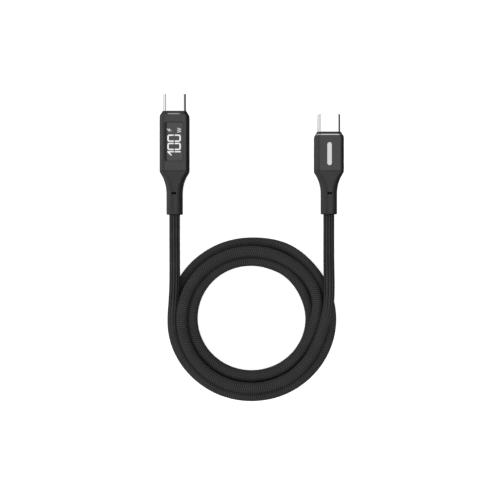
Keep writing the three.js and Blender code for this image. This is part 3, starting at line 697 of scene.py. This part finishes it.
# ---------------------------------------------------------------- lit figures
def figures(name, polygons, material, z0, z1):
    """Flat figures, each an outline (a, b): a runs along the plug towards the tongue, b to the left of it."""
    verts, faces = [], []
    for poly in polygons:
        pts = [(-b + 0.24, a - 0.34) for a, b in poly]
        area = sum(p[0] * q[1] - q[0] * p[1] for p, q in zip(pts, pts[1:] + pts[:1]))
        if area < 0:
            pts.reverse()
        n, base_i = len(pts), len(verts)
        verts += [(x, y, z0) for x, y in pts] + [(x, y, z1) for x, y in pts]
        faces.append(tuple(base_i + i for i in reversed(range(n))))
        faces.append(tuple(base_i + n + i for i in range(n)))
        for i in range(n):
            j = (i + 1) % n
            faces.append((base_i + i, base_i + j, base_i + n + j, base_i + n + i))
    o = obj_from(name, verts, faces, sharp_deg=30)
    wear(o, material)
    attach(o, "meter_plug")
    return o


def rounded_cup(a0, a1, b_open, b_end, stroke, bar, r=0.75):
    """Half of a nought: two strokes that leave b_open and are joined by a round-cornered bar at b_end."""
    s = 1 if b_end > b_open else -1
    out, k = [], 6
    out.append((a0, b_open))
    for i in range(k + 1):
        t = math.pi / 2 * i / k
        out.append((a0 + r - r * math.cos(t), b_end - s * (r - r * math.sin(t))))
    for i in range(k + 1):
        t = math.pi / 2 * i / k
        out.append((a1 - r + r * math.sin(t), b_end - s * (r - r * math.cos(t))))
    out.append((a1, b_open))
    ri = r - bar
    out.append((a1 - stroke, b_open))
    for i in range(k + 1):
        t = math.pi / 2 * (1 - i / k)
        out.append((a1 - stroke - ri + ri * math.sin(t), b_end - s * (bar + ri - ri * math.cos(t))))
    for i in range(k + 1):
        t = math.pi / 2 * (1 - i / k)
        out.append((a0 + stroke + ri - ri * math.cos(t), b_end - s * (bar + ri - ri * math.sin(t))))
    out.append((a0 + stroke, b_open))
    return out


BOTTOM, TOP, MID, GAP, STROKE, BAR = -2.22, 2.64, 0.17, 0.20, 0.49, 0.54
shapes = []
for a0, a1 in ((1.59, 4.24), (4.60, 7.21)):
    shapes.append(rounded_cup(a0, a1, MID + GAP, TOP, STROKE, BAR))
    shapes.append(rounded_cup(a0, a1, MID - GAP, BOTTOM, STROKE, BAR))
shapes.append([(0.79, BOTTOM + 0.05), (1.24, BOTTOM + 0.05), (1.24, MID - GAP), (0.79, MID - GAP)])
shapes.append([(0.79, MID + GAP), (1.24, MID + GAP), (1.24, TOP), (0.86, TOP), (-0.42, 1.34), (-0.14, 1.00), (0.79, 1.92)])
figures("reading_figures", shapes, lit.m, PLUG_Z + 2.93, PLUG_Z + 2.975)

# unit letter: four strokes between two lines
wa0, wa1, wb0, wb1, ws = 7.85, 9.65, -2.32, -0.86, 0.24
unit = []
xs = [wa0, wa0 + 0.42, (wa0 + wa1) / 2, wa1 - 0.42, wa1]
top_pts = [(wa0, wb1), (wa0 + ws, wb1), (wa0 + 0.50, wb0 + 0.52), ((wa0 + wa1) / 2 - 0.10, wb1), ((wa0 + wa1) / 2 + 0.10, wb1), (wa1 - 0.50, wb0 + 0.52), (wa1 - ws, wb1), (wa1, wb1),
           (wa1 - 0.34, wb0), (wa1 - 0.62, wb0), ((wa0 + wa1) / 2, wb1 - 0.62), (wa0 + 0.62, wb0), (wa0 + 0.34, wb0)]
unit.append(top_pts)
# charging mark: a lightning bolt
unit.append([(8.95, 2.74), (8.15, 1.78), (8.72, 1.78), (8.42, 0.98), (9.55, 2.06), (8.98, 2.06), (9.45, 2.74)])
figures("unit_and_charge_mark", unit, faint.m, PLUG_Z + 2.93, PLUG_Z + 2.975)

# ---------------------------------------------------------------- CAD nodes that stay
FINISH = {
    "contact_carrier": carrier_black, "contacts_upper": gold, "contacts_lower": gold, "latch_left": spring, "latch_right": spring,
    "front_insert": carrier_black, "paddle_board": board.m, "emarker_chip": chip, "inner_frame": natural, "crimp_ring": copper,
    "wire_vbus": red, "wire_ground": black, "wire_cc": blue, "wire_data_plus": green, "wire_data_minus": white,
    "board": board.m, "led_display": module_black, "controller_chip": chip, "shunt_resistor": ceramic,
    "capacitor_left": ceramic, "capacitor_right": ceramic, "board_header": chip,
    "housing": blasted, "plug_shell": steel, "strain_relief": tpe, "cable_end": tpe_jacket, "display_lens": smoke.m, "badge": silver,
}
for name, node in NODES.items():
    material = braid.m if name.startswith("cable_") else FINISH[name.split("_", 1)[1]]
    node.data.materials.clear()
    node.data.materials.append(material)

# ---------------------------------------------------------------- stage
bpy.context.scene.view_settings.view_transform = "Standard"
bpy.context.scene.view_settings.look = "None"
bpy.context.scene.view_settings.exposure = 0.0
bpy.context.scene.view_settings.gamma = 1.0

floor_me = bpy.data.meshes.new("floor")
floor_me.from_pydata([(-3, -3, -0.00006), (3, -3, -0.00006), (3, 3, -0.00006), (-3, 3, -0.00006)], [], [(0, 1, 2, 3)])
floor = bpy.data.objects.new("floor", floor_me)
bpy.context.scene.collection.objects.link(floor)
paper = Mat("white_sweep", Roughness=0.9, Specular_IOR_Level=0.0, Emission_Strength=0.62)
paper.link(paper.mix(paper.noise(paper.coords(), 30.0), (0.90, 0.90, 0.90), (0.92, 0.92, 0.92)), paper.b.inputs["Base Color"])
paper.b.inputs["Emission Color"].default_value = (1, 1, 1, 1)
floor.data.materials.append(paper.m)
floor.visible_glossy = False
floor.visible_diffuse = False

# Studio light that goes by direction only. Gloss sees the soft boxes: a wide one overhead, a lower one to the left with
# a gap between them, and dark to the right. Everything else gets the same light smoothed out. The camera sees white.
world = bpy.data.worlds.new("studio")
bpy.context.scene.world = world
world.use_nodes = True
wt = world.node_tree
wt.nodes.clear()


def wnode(kind, **props):
    n = wt.nodes.new(kind)
    for k, v in props.items():
        setattr(n, k, v)
    return n


def wmath(op, a, b=None, clamp=False):
    n = wnode("ShaderNodeMath", operation=op, use_clamp=clamp)
    for i, v in enumerate((a, b)):
        if v is None:
            continue
        if isinstance(v, bpy.types.NodeSocket):
            wt.links.new(v, n.inputs[i])
        else:
            n.inputs[i].default_value = v
    return n.outputs[0]


def wspread(value, lo, hi, a, b):
    n = wnode("ShaderNodeMapRange", interpolation_type="SMOOTHSTEP")
    wt.links.new(value, n.inputs["Value"])
    for k, v in (("From Min", lo), ("From Max", hi), ("To Min", a), ("To Max", b)):
        n.inputs[k].default_value = v
    return n.outputs[0]


tc = wnode("ShaderNodeTexCoord")
sep = wnode("ShaderNodeSeparateXYZ")
wt.links.new(tc.outputs["Generated"], sep.inputs[0])
wx, wy, wz = sep.outputs
# degrees from the zenith towards +X, as -180 to 180
tilt = wmath("MULTIPLY", wmath("ARCTAN2", wx, wz), 1 / (2 * math.pi))
ramp = wnode("ShaderNodeValToRGB")
wt.links.new(wmath("ADD", tilt, 0.5), ramp.inputs[0])
STOPS = [(-180, 0.12), (-140, 0.22), (-110, 0.88), (-60, 0.97), (-42, 0.95), (-36, 0.05), (-21, 0.05), (-14, 1.15), (40, 1.12), (50, 0.75),
         (60, 0.10), (90, 0.05), (150, 0.05), (180, 0.28)]
ramp.color_ramp.interpolation = "EASE"
while len(ramp.color_ramp.elements) > 1:
    ramp.color_ramp.elements.remove(ramp.color_ramp.elements[-1])
ramp.color_ramp.elements[0].position = 0.0
ramp.color_ramp.elements[0].color = (STOPS[0][1],) * 3 + (1,)
for deg, value in STOPS[1:]:
    e = ramp.color_ramp.elements.new((deg + 180) / 360)
    e.color = (value,) * 3 + (1,)
ends_dim = wspread(wmath("ABSOLUTE", wy), 0.72, 1.0, 1.0, 0.6)
gloss = wmath("MULTIPLY", ramp.outputs[0], ends_dim)
t = wmath("ADD", wmath("ADD", wmath("MULTIPLY", wx, -0.6), wmath("MULTIPLY", wy, 0.15)), wmath("MULTIPLY", wz, 0.75))
soft = wspread(t, -0.6, 0.6, 0.38, 1.08)
path_node = wnode("ShaderNodeLightPath")


def background(value, strength):
    n = wnode("ShaderNodeBackground")
    if isinstance(value, bpy.types.NodeSocket):
        wt.links.new(value, n.inputs["Color"])
    n.inputs["Strength"].default_value = strength
    return n.outputs[0]


def between(fac, a, b):
    n = wnode("ShaderNodeMixShader")
    wt.links.new(fac, n.inputs[0])
    wt.links.new(a, n.inputs[1])
    wt.links.new(b, n.inputs[2])
    return n.outputs[0]


plain = background(None, 1.0)
wt.nodes[-1].inputs["Color"].default_value = (1, 1, 1, 1)
shown = between(path_node.outputs["Is Glossy Ray"], background(soft, 1.0), background(gloss, 1.0))
out = wnode("ShaderNodeOutputWorld")
wt.links.new(between(path_node.outputs["Is Camera Ray"], shown, plain), out.inputs[0])
